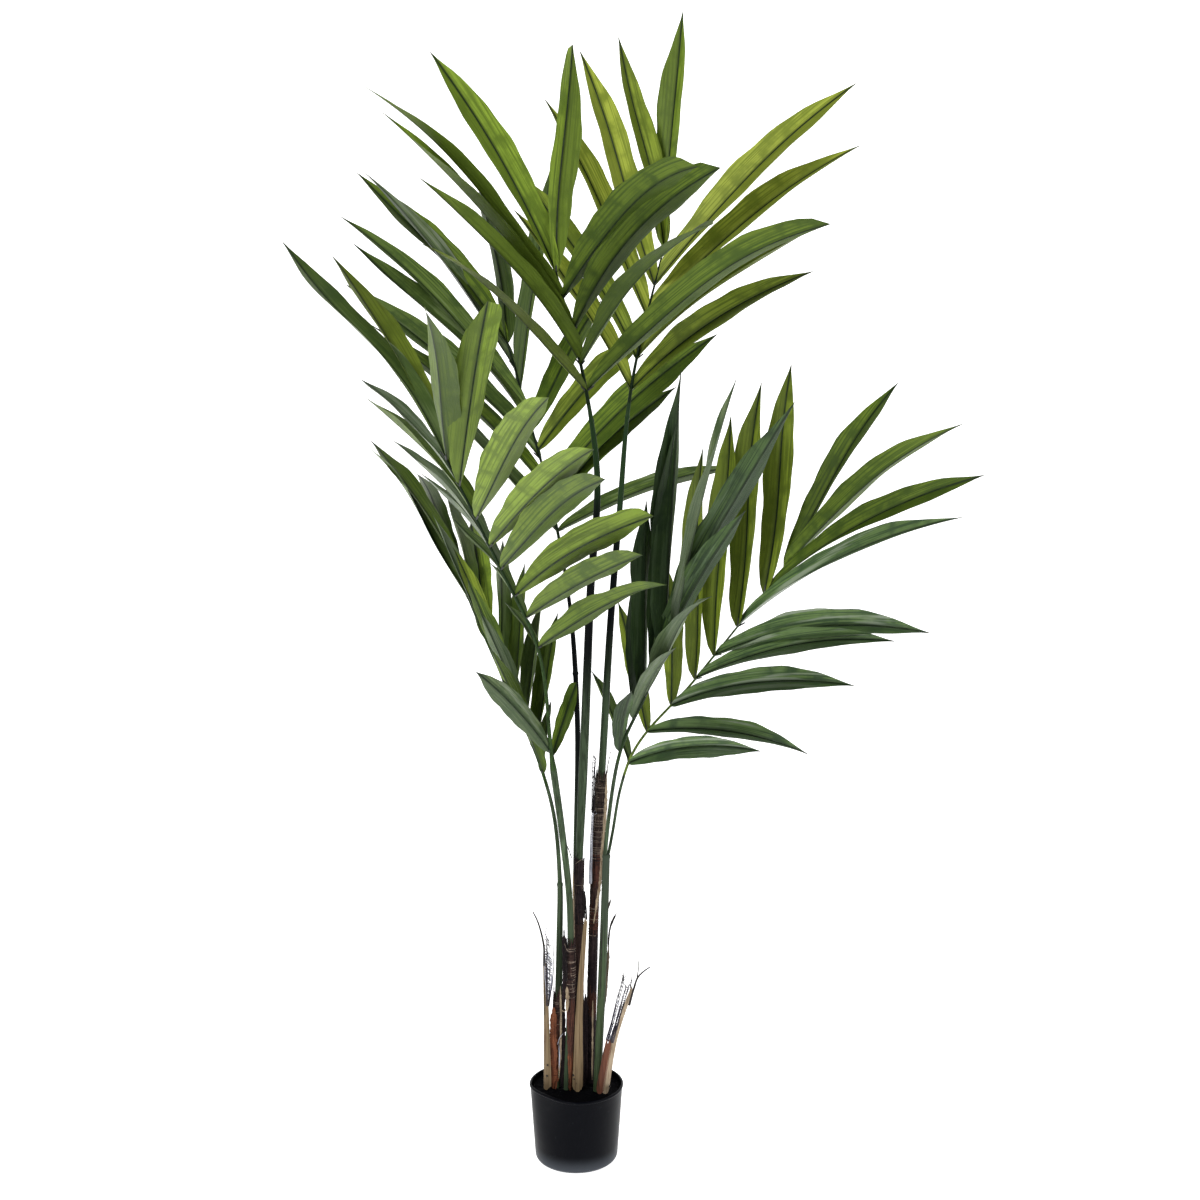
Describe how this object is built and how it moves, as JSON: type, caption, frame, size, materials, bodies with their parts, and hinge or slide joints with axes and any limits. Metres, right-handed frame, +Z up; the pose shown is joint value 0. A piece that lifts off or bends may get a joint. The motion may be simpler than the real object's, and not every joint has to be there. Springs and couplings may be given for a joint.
{
  "type": "artificial kentia palm in a pot",
  "caption": "Tall artificial palm with feathered fronds on slim stalks, torn sheaths at their feet, set in a small weighted round pot that stands on the floor.",
  "frame": {"origin": "centre of the pot's flat underside", "axes": "+Z up from the floor, +X to the viewer's right in the front view, -Y towards the viewer"},
  "size_m": [1.015, 0.9708, 1.8004],
  "materials": {
    "pot": "satin black blow-moulded plastic",
    "filling": "matt black painted cement",
    "stalk_green": "satin moulded plastic over a wire core",
    "stalk_dark": "satin moulded plastic over a wire core",
    "sheath": "coarse brown fibre",
    "stump": "matt tan plastic with a dry grain",
    "leaf": "satin printed polyester"
  },
  "bodies": {
    "root": {"pot": "pot", "pot_filling": "filling", "stalk_front_left": "stalk_green", "stalk_left": "stalk_green", "stalk_right_front": "stalk_green", "stalk_right": "stalk_green", "stalk_right_pair": "stalk_green", "stalk_centre": "stalk_dark", "stalk_back_left": "stalk_dark", "stalk_top_right": "stalk_dark", "sheath_left": "sheath", "sheath_front_left": "sheath", "sheath_centre": "sheath", "sheath_top_right": "sheath", "stump_left": "stump", "stump_centre": "stump", "stump_right": "stump", "frond_front_left": "leaf", "frond_left": "leaf", "frond_centre": "leaf", "frond_back_left": "leaf", "frond_top_right": "leaf", "frond_right_front": "leaf", "frond_right": "leaf"}
  },
  "joints": []
}
